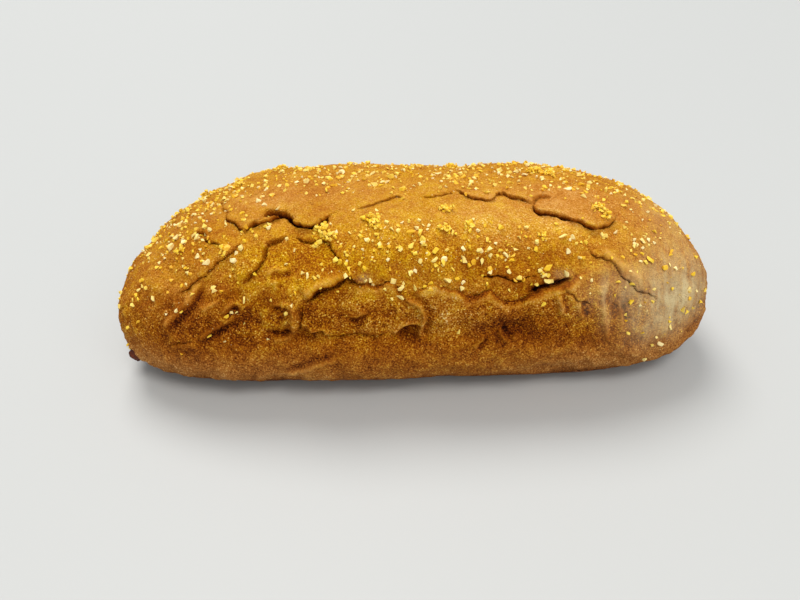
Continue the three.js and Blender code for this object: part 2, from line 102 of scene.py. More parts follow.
# ---- cracks ----
# A route runs from left to right, or from the top down where it is upright. After it come a
# crack's width and depth, how far the crown side hangs over the cut, how far the crust stands
# up on the crown side and on the waist side, the distance over which that fades, and the
# distance over which the raised side rolls down to the cut.
CRACKS = (
    # left shoulder
    (((-83, -6), (-81.6, 2.2), (-78.6, 12.7), (-74.6, 26)), 1.0, 1.1, 0.3, 0.7, -0.3, 7, 2.0),
    (((-76, 23), (-74, 26.5), (-71.3, 28.4), (-67.7, 32.5),
      (-64.8, 35.6)), 1.4, 2.2, 1.0, 1.5, -0.3, 8, 2.4),
    (((-65.4, 36.2), (-63.7, 32.7), (-58.1, 29.4), (-52.1, 27.6), (-46.6, 30.9), (-42.5, 34.5),
      (-37.4, 35.3), (-34.1, 34), (-29.5, 30)), 3.2, 4.8, 1.7, 2.2, -0.7, 11, 1.8),
    (((-59, 27), (-55.5, 25), (-51.5, 25), (-48, 28)), 4.0, 4.2, 0.0, 0.0, 0.0, 4, 1.0),
    (((-45.4, 39.4), (-41.9, 41), (-38, 42.6), (-33.4, 43.3), (-30.4, 45.9), (-28.6, 48.7),
      (-25, 54)), 1.3, 1.7, 0.4, 0.8, -0.4, 6, 1.8),
    (((-66.4, 57.9), (-61.5, 55.6), (-58.4, 53.6), (-56.6, 49), (-55.3, 43.3), (-51, 41),
      (-46.5, 39.6)), 1.9, 2.0, 0.3, 1.0, -0.5, 7, 1.8),
    (((-88.2, 30.4), (-83.5, 34), (-80.7, 37.6), (-77, 39.6),
      (-73, 42)), 1.1, 1.5, 0.6, 1.0, -0.3, 6, 2.0),
    (((-93, 62), (-85.4, 56.5), (-78, 51), (-73.7, 49), (-70, 45.5), (-67.1, 42),
      (-65, 39.5)), 1.1, 1.3, 0.4, 0.9, -0.3, 8, 2.0),
    # the long fold along the front, and short cracks round it
    (((-41, 66.6), (-37.6, 64.3), (-34.6, 61.8), (-30.7, 60.7), (-26.7, 59.3), (-23.7, 58.9),
      (-20, 61)), 3.2, 2.2, 1.2, 2.4, -1.0, 6, 2.8),
    (((-22.5, 60.3), (-16.1, 60.4), (-10.3, 60), (-7.4, 60.9), (-5.1, 63.3),
      (-2.4, 65.6)), 1.2, 1.3, 0.2, -0.5, 1.5, 7, 2.4),
    (((-4, 65.6), (0.2, 63.2), (4, 62.3), (8.8, 61.8), (13.6, 62.2), (18, 63.4), (21.5, 65.3),
      (25.5, 64.8), (29.7, 64.3), (32.5, 66), (39.4, 67), (45.1, 65), (50.5, 63.9), (56, 61.4),
      (63.8, 57.5), (69, 56.3)), 0.9, 0.7, 0.2, -0.8, 2.0, 7, 2.6),
    (((24.5, 56.5), (29.7, 58.4), (34.6, 59.4), (38.3, 59.9), (42.2, 59.5), (44.5, 58.2),
      (48, 57.7)), 1.7, 2.2, 0.8, 0.6, 0.8, 5, 1.8),
    (((44, 63.6), (48, 63.7), (51, 62.5), (54, 61.2), (57, 59.9),
      (61, 58.4)), 3.0, 3.6, 0.6, -0.2, 1.0, 5, 2.0),
    (((-45, 79), (-40.7, 79.2), (-35.7, 78.4), (-32.8, 80.5), (-26, 81), (-17, 81.6),
      (-9, 81)), 1.2, 1.2, 0.3, 0.9, -0.5, 6, 2.0),
    (((-43.8, 67.5), (-42.6, 70), (-43, 75), (-44.5, 79)), 2.4, 1.9, 0.0, -0.3, 0.8, 4, 1.6),
    (((-98.9, 82.9), (-94.6, 81.6), (-91.4, 80.5), (-87.2, 79)), 1.2, 1.4, 0.5, 0.1, 0.6, 3, 1.4),
    (((56.9, 62.3), (58.8, 64.1), (61.3, 65.1), (63, 66.1), (66, 68.5),
      (68.5, 71)), 1.3, 1.4, 0.3, 0.5, 0.2, 4, 1.6),
    # crown and right shoulder
    (((-22, 27.3), (-18.8, 25.8), (-13.4, 24.3), (-10.9, 21.4), (-7.4, 18.1), (-4.5, 18.1),
      (-1.2, 20.7)), 1.0, 1.5, 0.8, 1.0, -0.2, 8, 1.3),
    (((5, 18), (9.5, 20), (14, 18.5), (19, 14.5)), 0.9, 1.2, 0.6, 0.8, -0.2, 6, 1.8),
    (((17.7, 14.2), (20.1, 16), (25.1, 20.1), (31.7, 22), (34.6, 18.7), (36.8, 17.6), (41, 20.7),
      (45.1, 21), (49.3, 25.3)), 1.8, 2.4, 1.2, 1.5, -0.4, 9, 1.6),
    (((48.6, 25.4), (51.5, 30), (57, 30.7), (61.9, 32.3), (66.5, 35.1), (70.2, 36.7),
      (75.1, 36.3)), 3.4, 4.4, 1.5, 2.1, -1.0, 11, 2.1),
    (((69, 36.6), (72.5, 36.9), (76, 35.7), (79.5, 33), (84, 29)), 1.6, 2.4, 0.8, 1.1, -0.4, 8, 1.8),
    (((59.3, 16.5), (55.7, 17.6), (51.8, 21.5), (49, 25.1)), 0.9, 1.3, 0.0, -0.4, 0.9, 5, 1.8),
    (((67.5, 46), (71.3, 50.3), (75.6, 52.8), (80.5, 57.2), (84.1, 60.2), (87.8, 63), (92, 65.5),
      (97, 69.5)), 1.0, 1.3, 0.4, 0.9, -0.2, 7, 1.8),
    # the back, which the photograph doesn't show
    (((-84, -54), (-68, -60), (-48, -57), (-30, -64), (-14, -60)), 1.8, 3.0, 1.2, 1.8, -0.4, 9, 2.8),
    (((26, -60), (40, -66), (56, -62), (72, -68)), 1.5, 2.4, 0.8, 1.4, -0.4, 8, 2.4),
)
STATION_STEP = 1.0  # spacing of the places that a crack is laid out by
SPLINE_STEPS = 40  # between two knots of its route
CRACK_ENDS = 0.16  # share of a crack over which each end runs out
CRACK_TIP = 0.12  # share of its width and depth left at the very end
RAGGEDNESS = ((0.6, 21.0), (0.45, 11.5))  # sideways sway of a crack, and its wavelength
FRAY, FRAY_GRAIN = 0.7, 2.2  # small tears of a crack's edges, and their size
RAISED_REACH = 1.5  # how much further the crust's raised side runs out than the other
ROLL_CHANGE = 0.6  # how unevenly its edge rolls down
PINCH, PINCH_GRAIN = 0.8, 7.0  # share by which a crack narrows and widens, and how far apart
USUAL_SHARE = 0.8  # of its width, and of its roll, that a crack has where it isn't pinched
WIDTH_LIMITS, ROLL_LIMITS = (0.2, 1.6), (0.4, 1.3)  # least and greatest share of each
FRAY_REACH = 5.0  # how far from a crack its fraying fades out
CUT_FULLNESS = 0.8  # power that shapes its section: 1 gives a V, less a fuller cut
LEAN_REACH = 3.5  # how far from the cut the overhang fades out
DARK_DEPTH, DARK_GROWTH = 4.0, 1.5  # depth from which a crack's painted shade is darkest, and how that grows
# The roll gets painted shade at its foot: how dark, for how high a step, and the power it fades by.
STEP_TONE, STEP_HEIGHT, STEP_FADE = 0.58, 3.0, 0.9
# It gets a painted highlight near its top, partly paler rubbed crust: at what share of it, over what half
# width, and for how high a side.
LIP_AT, LIP_HALF, LIP_HEIGHT = 0.8, 1.1, 1.5
UPPER_LIP = 0.2  # how strongly an edge on the crown side gets that highlight, against 1 on the waist side

# Ridges with no cut: route, height, half width, and the side that sinks beside it, which is
# 1 for the crown side, or the right where the route runs down, -1 for the other, 0 for none.
RIDGES = (
    (((-2.8, 65.1), (-0.9, 67), (2.1, 68.3), (3.8, 70.5), (4.7, 73.6), (4, 77.4), (3.2, 80.6),
      (3, 85)), 2.5, 1.1, 1),
    (((-42, 64.5), (-38.5, 61.6), (-35.3, 59.4), (-31.2, 58.2), (-27, 57), (-22.5, 57.2)), 1.3, 1.4, 0),
    (((-8, 82), (-5.7, 79.3), (-3, 77.2), (-0.2, 76.2), (3.5, 75.9)), 2.1, 1.4, -1),
    (((-45.3, 67), (-45.3, 71.3), (-45.9, 75.1), (-46.8, 80)), 2.1, 1.5, 0),
    (((-56, 81.5), (-50.2, 81.8), (-47.2, 79.6), (-45.3, 79.2)), 1.4, 1.1, 1),
    (((-40.7, 78), (-38.2, 77.8), (-35.7, 77), (-33.8, 77.5), (-32.6, 80)), 1.3, 0.9, -1),
    (((-53.5, 66.5), (-48, 66.7)), 1.0, 0.9, -1),
    (((-25, 71.8), (-21.5, 72.1), (-18.9, 71), (-16.5, 70.8)), 1.3, 0.9, -1),
    (((-55, 55.5), (-52, 53.5), (-49.3, 54), (-46, 53)), 1.0, 1.0, -1),
    (((-50.8, 57.8), (-51.6, 59.5), (-50.3, 61.3)), 1.2, 0.9, 1),
    (((-83.3, 56.2), (-85.6, 61.8), (-89.1, 65.2), (-93.4, 68.8), (-99.3, 74.7)), 1.2, 1.3, 1),
    (((-85, 79.8), (-81.4, 77.4), (-79.2, 75.9), (-75.9, 74.6), (-71.9, 72.3),
      (-68, 71.5)), 1.3, 1.1, -1),
    (((-81, 67.5), (-78.4, 66), (-74, 64)), 1.2, 0.9, 0),
    (((-74, 69), (-71.7, 67.4), (-68, 64.7)), 1.4, 1.1, -1),
    (((-54, 100.4), (-46.2, 97.5), (-39.4, 94.2), (-35.2, 92.7), (-29, 91)), 0.9, 1.2, 1),
    (((33.4, 79), (34.9, 82), (36.8, 85)), 1.4, 1.1, 1),
    (((39, 84.6), (41.6, 82.5)), 1.0, 0.9, 0),
    (((28.2, 82.8), (25.9, 85.4), (24.5, 88.5)), 1.4, 1.0, 1),
    (((77, 59.5), (73.3, 63), (73.1, 69.3), (74.1, 73.3), (75.6, 79), (78, 88)), 1.3, 1.1, 0),
    (((54.9, 65.4), (56.7, 69.2), (57.4, 73)), 1.4, 1.0, 1),
    (((62.5, 68), (66, 75)), 1.3, 1.1, 1),
    (((80, 66), (81, 73), (83, 80)), 1.0, 1.1, 1),
    (((73, 46.5), (78, 51.5), (84, 56.5), (90, 60)), 1.0, 1.8, 0),
    (((106.6, 64), (106.3, 82)), -0.6, 0.8, 0),
    (((-70, -78), (-66, -90), (-68, -98)), 0.8, 1.6, 1),
    (((30, -76), (34, -86), (32, -96)), 0.8, 1.6, -1),
    (((-30, -72), (-14, -76), (4, -73)), 0.8, 1.3, 1),
)
DIP_AT, DIP_HALF = 1.9, 1.1  # where the sunken side is lowest, and how wide, in half widths
DIP_DEPTH, DIP_SHADE = 0.7, 0.4  # its depth as a share of the ridge's height, and how dark its painted shade is

# Fine wrinkles spread like a fan from above the crown, drawn out towards both ends.
FAN_ABOVE = 35.0  # how far above the crown line the fan starts
FAN_RADIUS = 100.0  # distance from its start at which its rays lie a spacing apart
DEGREE_LENGTH = 0.87  # surface length of one degree around the loaf
WRINKLE_SPACING, WRINKLE_LENGTH = 4.2, 16.0
WRINKLE_HEIGHT, WRINKLE_SHARPNESS = 0.6, 2.4
WRINKLED_FROM = (42, 66)  # where on the way around they fade in
WRINKLED_ENDS, MIDDLE_WRINKLES = (25, 60), 0.3  # where along they grow, and their share before
LUMP_SIZE, LUMP_HEIGHT, FRONT_LUMPS = 6.5, 0.32, 0.5  # soft lumps, and how much more in front
LUMPY_FROM = (55, 72)  # where on the way around the front's lumps fade in
LUMP_SHADING = 0.12  # painted highlight on the lumps and painted shade in the hollows between them: how strong
DENT_SIZE, DENT_HEIGHT = 17.0, 0.9  # broader dents, full in front
DENTED_FROM, OTHER_DENTS = (30, 60), 0.4  # where the front's dents fade in, and the rest's share
# Where the skin is crumpled into short curved ridges: along, around, height, reach, spread.
CRUMPLED = (
    (-60, 67, 1.2, 20, 11),
    (-98, 62, 0.4, 14, 12),
    (-28, 73, 0.8, 22, 7),
    (12, 74, 0.6, 26, 7),
    (64, 72, 0.9, 16, 11),
    (88, 70, 0.4, 14, 12),
    (-10, -70, 0.5, 70, 16),
)
CRUMPLE_SIZE, CRUMPLE_SHARPNESS = 8.5, 5.0
CRUMPLE_TONE = 0.20  # how much paler the ridges are: painted highlight, partly paler dry crust
CRUMPLE_SHADE, CRUMPLE_DENTS = 0.4, 0.6  # how much painted shade between them, and how dents vary that
SKIN_GRAIN, SKIN_HEIGHT = 2.3, 0.16  # small pits and blisters all over

# ---- tones of the crust ----
RIM_TONE, RIM_DARK, RIM_PLAIN = 0.16, 6.5, 11.5  # the darker rim round the base, partly browner crust and partly painted shade, and its heights
# Where the crust baked paler (+) or darker (-); the dark ones in dents, hollows and the pocket under the
# left flap are painted shade as well as browner crust: along, around, amount, reach, spread.
BAKE_AND_SHADE_PATCHES = (
    (-38, 52, -0.10, 13, 9),
    (-76, 73, -0.15, 28, 9),
    (-20, 71, -0.04, 22, 6),
    (40, 76, -0.10, 24, 8),
    (-32, 64, -0.16, 7, 2.2),
    (-33, 58.6, 0.04, 9, 2.2),
    (0, 104, 0.075, 100, 7),
    (-76, 50, 0.09, 12, 8),
    (-92, 34, -0.07, 20, 18),
    (-84, 95, 0.04, 34, 10),
    (-110, 66, 0.05, 14, 14),
    (6, 80, 0.08, 16, 6),
    (-42.5, 81, -0.16, 6, 3.4),
    (-55.5, 79.5, 0.03, 6, 4),
    (-2.3, 83.2, -0.20, 5, 3.2),
    (40, 78, -0.20, 8, 4.6),
    (-70, 60, -0.16, 4.5, 4.5),
    (-53.5, 25.8, -0.28, 4.5, 2.0),
    (34, 34, 0.09, 45, 14),
    (14, 63, 0.08, 10, 3),
    (0, 88, -0.02, 90, 6),
    (75, 99, 0.06, 40, 9),
    (-70, 100, 0.03, 40, 9),
    (-112, 96, 0.08, 22, 12),
    (44, 62.8, -0.14, 8, 2.6),
    (5, 50, -0.06, 30, 9),
    (58, 38, 0.03, 12, 8),
    (92, 45, 0.03, 22, 18),
    (78.5, 70, -0.07, 3, 9),
    (32, 84, -0.10, 16, 4),
    (-66, 83, -0.12, 7, 4),
    (-66, 73, 0.08, 8, 5),
    (-90, 72, 0.02, 8, 6),
    (-119, 80, 0.12, 10, 14),
    (11, 72, 0.10, 6, 4),
    (45, 56, -0.07, 28, 6),
    (60, 48, -0.03, 25, 7),
    (-41, 72, -0.08, 7, 5),
    (-56, 65, -0.07, 9, 5),
)
# Where the crust is golden (+) or rosy (-), in the same way.
GOLD_PATCHES = (
    (5, 50, 0.35, 75, 12),
    (-45, 56, 0.25, 34, 16),
    (-92, 62, -0.35, 16, 14),
    (30, 77, -0.25, 22, 7),
    (35, 44, -0.3, 12, 8),
    (20, 98, 0.3, 50, 8),
    (-10, 78, 0.1, 95, 10),
    (-50, 12, -0.5, 30, 14),
    (70, 18, -0.7, 28, 16),
    (-105, 94, -0.5, 34, 12),
    (70, 98, -0.3, 30, 10),
)
# Where the crust is more strongly speckled.
COARSE_PATCHES = (
    (0, 73, 0.85, 125, 11),
    (-50, 50, 0.5, 26, 11),
    (15, 47, 0.35, 55, 10),
    (0, -73, 0.6, 125, 11),
)
# Where flour dusts it.
FLOUR_PATCHES = (
    (109, 64, 0.78, 17, 20),
    (96, 76, 0.40, 13, 17),
    (81, 62, 0.30, 10, 8),
    (68, 66, 0.12, 7, 8),
    (110, 20, 0.25, 14, 26),
    (57, 57.5, 0.35, 3, 1.8),
    (73.4, 66, 0.26, 2.2, 8),
    (75, 76, 0.18, 2.0, 6),
    (-17.7, 58, 0.4, 1.8, 1.3),
    (112, -50, 0.25, 16, 34),
)

# ---- grits ----
# How thickly they lie, per square centimetre: along, around, amount, reach, spread.
GRIT_PATCHES = (
    (-30, -12, 7.0, 110, 34),
    (60, -15, 6.0, 50, 30),
    (-75, 0, 4.0, 40, 30),
    (8, 48, 12.5, 58, 11),
    (-92, 34, 9.0, 24, 26),
    (95, 25, 4.5, 22, 30),
    (105, 75, 2.2, 20, 20),
    (-45, 72, 0.3, 45, 9),
    (0, -75, 3.0, 100, 24),
    (0, 59, 4.0, 25, 6),
    (35, 29, -8.0, 34, 8),
    (-52, 24, -6.0, 22, 10),
    (-44, 47, -6.5, 14, 9),
)
GRIT_RADIUS, GRIT_SPREAD = 0.92, 0.30  # middle radius, and how unlike each other they are
GRIT_SMALLEST, GRIT_LARGEST = 0.5, 1.7
GRIT_LIFT, MEAL_LIFT = 0.3, 0.5  # share of its radius that a grain's middle is above the crust
GRIT_LEAN = 0.3  # how far a grain leans from standing straight
GRIT_STRETCH = ((0.9, 0.75, 0.75), (1.25, 1.0, 1.0))  # least and greatest, three ways
RAY_ABOVE, RAY_LENGTH = 20.0, 60.0  # from how far above the form a grain is dropped, and how far
ASKEW = (0.31, 0.95, 0.05)  # a direction to start a grain's frame from: no normal is just so
GRIT_KINDS, MEAL_KINDS = 14, 5  # different shapes of each
GRIT_CORNERS, GRIT_FLATNESS = (10, 15), (0.65, 0.95)  # a flatness of 1 is round
MEAL_CORNERS, MEAL_FLATNESS = 6, 0.8
GRIT_LOW, GRIT_FULL = 7, 16  # heights between which the grits thicken to their full number
STREWN_ROUND = 112  # how far down both sides they are strewn, in degrees
STREWN_TRIALS = 60000  # places tried for each strewing
YELLOW_SHARE, PALE_FROM = 0.62, 0.55  # share of yellow ones, and the tint where pale begins
MEAL_PER_GRIT = 1.6  # grains of fine meal for each grit
MEAL_RADIUS = (0.16, 0.34)
# Single grits that show well: along, around, radius, and tint from yellow to pale.
LONE_GRITS = (
    (-92, 67, 1.1, 0.9), (-76, 60, 1.3, 0.8), (-64, 64, 1.5, 0.7), (-70, 69, 1.0, 0.85),
    (-68, 69.5, 1.1, 0.7), (-66, 74, 1.2, 0.6), (-74, 81, 0.9, 0.9), (-48, 70, 1.2, 0.6),
    (-45, 67, 1.1, 0.85), (-41, 55.5, 1.1, 0.75), (-48, 41, 1.3, 0.8), (-44.5, 46, 1.1, 0.8),
    (-37, 44.5, 1.4, 0.5), (-60, 39, 1.2, 0.4), (-24, 52, 0.9, 0.95), (-59, 20.5, 1.1, 0.9),
    (-53, 24, 1.2, 0.9), (-57, 26, 0.9, 0.5), (-4, 62, 1.5, 0.8), (-4.5, 65.5, 1.5, 0.85),
    (-7.5, 66, 1.0, 0.7), (-15.5, 59, 1.2, 0.8), (14, 59.5, 1.6, 0.75), (19, 63, 1.4, 0.8),
    (29.5, 57, 1.3, 0.85), (49.5, 57.5, 1.3, 0.7), (52, 60, 1.9, 0.7), (58.5, 57.5, 1.7, 0.85),
    (47.5, 61.5, 1.2, 0.5), (40.5, 65.5, 1.0, 0.4), (49.5, 68.5, 1.1, 0.35), (18, 80.5, 1.1, 0.6),
    (58.5, 43, 1.7, 0.7), (85, 61, 1.2, 0.45), (111.5, 75, 1.5, 0.3), (119.5, 71, 1.2, 0.3),
    (113.5, 55, 1.3, 0.2), (-95, 54, 1.1, 0.05), (12.5, 53.5, 1.6, 0.4), (23, 38.5, 1.6, 0.3),
    (59.5, 49, 1.4, 0.95), (64, 51, 1.4, 0.8), (75, 40.5, 1.3, 0.75), (-125, 55.7, 1.2, 0.4),
    (-121.2, 60.3, 1.0, 0.3), (-121.7, 90, 1.2, 0.15), (-122.5, 94, 1.0, 0.2), (-111.3, 59.3, 1.1, 0.2),
    (-110.6, 61.3, 1.0, 0.3), (-117.1, 75.6, 1.0, 0.3), (-108.4, 55.1, 0.9, 0.6),
    (48.7, 56.4, 1.0, 0.7), (50.5, 58.2, 1.2, 0.7), (113.9, 54.8, 1.2, 0.2), (97.4, 91.1, 1.0, 0.6),
    (85, 82.3, 1.0, 0.5), (95.7, 99.1, 1.1, 0.8),
)
# Heaps of fine yellow meal: along, around and radius.
CLUMPS = (
    (-13.6, 37.2, 3.6), (-34.6, 37.6, 2.4), (-30.9, 41.7, 2.5), (-36.3, 43.3, 1.3), (14.7, 29.2, 2.3),
    (22.9, 38.9, 1.9), (13.4, 40.2, 1.9), (57, -15, 3.2), (62, -11, 2.8), (76.5, 26.1, 2.8),
    (78.5, 30.5, 1.9), (-72.4, 44.4, 1.8), (-92, 40, 1.6), (-77.6, -16.1, 2.2), (-98.8, -35.3, 2.2),
    (-60, -30, 2.6), (20, -36, 2.8), (50.3, 43.5, 1.5),
)
CLUMP_FILL = 7.0  # grains dropped for each square millimetre of its radius squared
CLUMP_GRAIN = (0.65, 1.05)  # least and greatest radius of a grain
CLUMP_HEIGHT = 1.9  # a grain that would lie higher than this is left out
CLUMP_BED = 0.3  # share of its radius that the middle of a lowest grain is above the crust
CLUMP_NESTING, CLUMP_STACKING = 0.5, 0.35  # how near grains may lie, and how high one lifts another
CLUMP_CROWDING = 0.7  # 0.5 would spread the grains evenly, more draws them to the middle
CLUMP_OVAL, CLUMP_STAR = 0.3, 0.2  # how far a heap's outline is drawn out two ways, and five ways
CLUMP_TINT = (0.2, 0.5)
BURNT_NUB = dict(along=-120.6, around=97.5, radius=2.9, sunk=3.7, knobs=0.22)

dice = np.random.default_rng(7)


# ---- the form ----
def bow(t, squareness):
    """Height over its chord of a superellipse of the given squareness, at -1 <= t <= 1."""
    return np.maximum(0.0, 1.0 - np.abs(t) ** squareness) ** (1.0 / squareness)


def core_height(t):
    """Height of the core line at t, the share of the half length."""
    return WAIST_HEIGHT * (1.0 - WAIST_DROP * t * t)


def form_points(along, around):
    """Points of the smooth form at places given by two arrays, before any relief."""
    t = np.clip(along / (LENGTH / 2), -1.0, 1.0)
    left = t < 0
    sine, cosine = np.sin(np.radians(around)), np.cos(np.radians(around))
    above = cosine > 0
    crest = (HEIGHT - WAIST_HEIGHT) * bow(t, np.where(left, *CREST_SQUARENESS))
    keel = (WAIST_HEIGHT + UNDERCUT) * bow(t, KEEL_SQUARENESS)
    rise = np.maximum(np.where(above, crest, keel), 1e-6)
    half = np.maximum(WIDTH / 2 * bow(t, np.where(left, *PLAN_SQUARENESS)), 1e-6)
    power = np.where(above, CROWN_SQUARENESS, HEEL_SQUARENESS)
    radius = (np.abs(sine / half) ** power + np.abs(cosine / rise) ** power) ** (-1.0 / power)
    return np.stack([along, -radius * sine, core_height(t) + radius * cosine], axis=-1)


def unit(vectors):
    return vectors / np.maximum(np.linalg.norm(vectors, axis=-1, keepdims=True), 1e-9)


def outward(points):
    """Directions in which the crust rises: straight away from the core line."""
    along = np.clip(points[..., 0], -CORE_HALF_LENGTH, CORE_HALF_LENGTH)
    core = np.stack([along, 0 * along, core_height(along / (LENGTH / 2))], axis=-1)
    return unit(points - core)


def smooth_step(value, low, high):
    share = np.clip((value - low) / (high - low), 0.0, 1.0)
    return share * share * (3.0 - 2.0 * share)


def patches(listed, along, around):
    """Sum of soft round patches, each with its amount, reach along and spread around."""
    total = np.zeros(len(along))
    for where, turn, amount, reach, spread in listed:
        total += amount * np.exp(-((along - where) / reach) ** 2 - ((around - turn) / spread) ** 2)
    return total


def even_rings(polar):
    """Place along the loaf for a polar angle on the sphere, with the rings evenly spaced."""
    angle = np.linspace(0.0, math.pi, PROFILE_STEPS)
    across, power = np.sin(angle), PROFILE_SQUARENESS
    reach = (np.abs(np.cos(angle)) ** power + across ** power) ** (-1 / power)
    x = LENGTH / 2 * np.cos(angle) * reach
    y = (WIDTH + HEIGHT) / 4 * across * reach
    run = np.concatenate([[0.0], np.cumsum(np.hypot(np.diff(x), np.diff(y)))])
    return np.interp(polar / math.pi * run[-1], run, x)


# ---- cracks and ridges ----
def spline(knots, count):
    """A smooth line through the knots: count + 1 points at even steps of its length."""
    knots = np.array(knots, float)
    padded = np.vstack([2 * knots[0] - knots[1], knots, 2 * knots[-1] - knots[-2]])
    line = []
    for index in range(len(knots) - 1):
        a, b, c, d = padded[index:index + 4]
        for t in np.linspace(0.0, 1.0, SPLINE_STEPS, endpoint=False):
            line.append(0.5 * (2 * b + (c - a) * t + (2 * a - 5 * b + 4 * c - d) * t * t
                               + (3 * b - a - 3 * c + d) * t ** 3))
    line = np.array(line + [knots[-1]])
    run = np.concatenate([[0.0], np.cumsum(np.linalg.norm(np.diff(line, axis=0), axis=1))])
    even = np.linspace(0.0, run[-1], count + 1)
    return np.stack([np.interp(even, run, line[:, 0]), np.interp(even, run, line[:, 1])], axis=-1)


def lay_out(route, waves, phase):
    """Stations along a route: points on the smooth form, and the direction across it."""
    knots = np.array(route, float)
    length = np.linalg.norm(np.diff(knots, axis=0), axis=1).sum()
    count = max(3, round(length / STATION_STEP))
    places = spline(route, count)
    points = form_points(places[:, 0], places[:, 1])
    across = unit(np.cross(outward(points), np.gradient(points, axis=0)))
    run = np.arange(count + 1) * STATION_STEP
    for turn, (sway, wave) in enumerate(waves):
        points = points + across * (sway * np.sin(2 * math.pi * run / wave + phase * (turn + 1)))[:, None]
    return points, across


def fullness(share):
    """How fully a crack or ridge is there at a share of its route: it runs out at its ends."""
    inside = np.minimum(share, 1.0 - share) / CRACK_ENDS
    return CRACK_TIP + (1.0 - CRACK_TIP) * smooth_step(inside, 0.0, 1.0)


def measure(points, stations, reach):
    """Signed distance to a route, fullness at its foot and the direction across it there.
    Points further away than the reach are left out: `near` says which are in."""
    line, across = stations
    near = np.all((points > line.min(0) - reach) & (points < line.max(0) + reach), axis=1)
    near = np.flatnonzero(near)
    start, step = line[:-1], np.diff(line, axis=0)
    gap = points[near][:, None, :] - start[None]
    run = np.clip((gap * step).sum(-1) / np.maximum((step * step).sum(-1), 1e-9), 0.0, 1.0)
    gap = gap - run[..., None] * step
    squared = (gap * gap).sum(-1)
    best = squared.argmin(axis=1)
    row = np.arange(len(near))
    side = np.sign((gap[row, best] * across[best]).sum(-1))
    share = (best + run[row, best]) / len(step)
    return near, np.sqrt(squared[row, best]) * np.where(side == 0, 1, side), fullness(share), across[best]


laid_cracks = [(sizes, lay_out(route, RAGGEDNESS, turn)) for turn, (route, *sizes) in enumerate(CRACKS)]
laid_ridges = [(rise, half, groove, lay_out(route, (), 0)) for route, rise, half, groove in RIDGES]


def grain_field(points, size, octaves, seed):
    """Smooth noise between about -1 and 1 at each point, with grains of the given size."""
    shift = Vector((seed * 17.3, seed * 5.1, seed * 29.7))
    return np.array([noise.fractal(Vector(p) / size + shift, 0.8, 2.1, octaves) for p in points])


def wrinkles(along, around):
    """Fine creases along the rays of the fan: 0 between them, 1 on their sharp floors."""
    down = np.abs(around) * DEGREE_LENGTH + FAN_ABOVE
    ray = np.arctan2(along, down) * FAN_RADIUS / WRINKLE_SPACING
    run = np.hypot(along, down) / WRINKLE_LENGTH
    where = np.stack([ray, run, np.sign(around) * 9.0], axis=-1)  # the back's differ from the front's
    folded = 1.0 - np.abs(grain_field(where, 1.0, 2, 5)) * WRINKLE_SHARPNESS
    ends = smooth_step(np.abs(along), *WRINKLED_ENDS)
    strength = MIDDLE_WRINKLES + (1.0 - MIDDLE_WRINKLES) * ends
    strength *= smooth_step(np.abs(around), *WRINKLED_FROM)
    return np.clip(folded, 0.0, 1.0) ** 2 * strength


def add_cracks(points, fray, height, slide, painted_shade, lip_rub_and_highlight):
    """Adds each crack's raised side, cut and overhang to the relief, and its marks."""
    pinch = grain_field(points, PINCH_GRAIN, 2, 4)
    for (width, depth, lean, upper, lower, reach, roll), stations in laid_cracks:
        near, distance, full, across = measure(points, stations, 3 * reach)
        raised, sunk, crown_side_up = max(upper, lower), min(upper, lower), upper > lower
        torn = distance + FRAY * full * fray[near] * np.exp(-(distance / FRAY_REACH) ** 2)
        onto = torn if crown_side_up else -torn  # distance onto the raised side
        # The raised side rolls down to the cut, which narrows and widens.
        half = width / 2 * full * np.clip(USUAL_SHARE + PINCH * pinch[near], *WIDTH_LIMITS)
        run = roll * np.clip(USUAL_SHARE + ROLL_CHANGE * pinch[near], *ROLL_LIMITS)
        rolled = np.clip(onto / run, 0.0, 1.0)
        edge = sunk + (raised - sunk) * np.sqrt(1.0 - (1.0 - rolled) ** 2)
        cut = np.maximum(0.0, 1.0 - np.abs(torn) / half) ** CUT_FULLNESS
        fade = np.where(onto > 0, RAISED_REACH, 1.0) * reach
        height[near] += full * (edge * np.exp(-(distance / fade) ** 2) - depth * cut)
        # The crown side hangs over the cut.
        hang = lean * full * smooth_step(torn, 0.1 * half, half)
        hang = hang * np.exp(-(np.maximum(0.0, torn - half) / LEAN_REACH) ** 2)
        slide[near] -= across * hang[:, None]
        # The cut and the foot of a high step get painted shade, and the top of the roll a painted
        # highlight, partly paler rubbed crust.
        step = min(1.0, (raised - sunk) / STEP_HEIGHT)
        shaded = STEP_TONE * (onto > 0) * (1.0 - rolled) ** STEP_FADE * step
        darkened = np.maximum(cut * min(1.0, (depth / DARK_DEPTH) ** DARK_GROWTH), shaded)
        painted_shade[near] = np.maximum(painted_shade[near], full * darkened)
        rim = np.exp(-((onto - LIP_AT * roll) / LIP_HALF) ** 2)
        rim *= min(1.0, max(0.0, raised) / LIP_HEIGHT) * (UPPER_LIP if crown_side_up else 1.0)
        lip_rub_and_highlight[near] = np.maximum(lip_rub_and_highlight[near], rim * full)


def add_ridges(points, fray, height, painted_shade, lip_rub_and_highlight):
    """Adds each ridge, with the dip along one side of it, to the relief, and its marks."""
    for rise, half, groove, stations in laid_ridges:
        near, distance, full, _ = measure(points, stations, 4 * half)
        torn = distance + 0.5 * FRAY * full * fray[near]
        bulge = full * np.exp(-(torn / half) ** 2)
        dip = abs(groove) * full * np.exp(-((torn * groove / half - DIP_AT) / DIP_HALF) ** 2)
        height[near] += rise * (bulge - DIP_DEPTH * dip)
        # The crest gets a painted highlight, and the dip painted shade.
        lip_rub_and_highlight[near] = np.maximum(lip_rub_and_highlight[near], bulge * (rise > 0))
        painted_shade[near] = np.maximum(painted_shade[near], DIP_SHADE * dip)


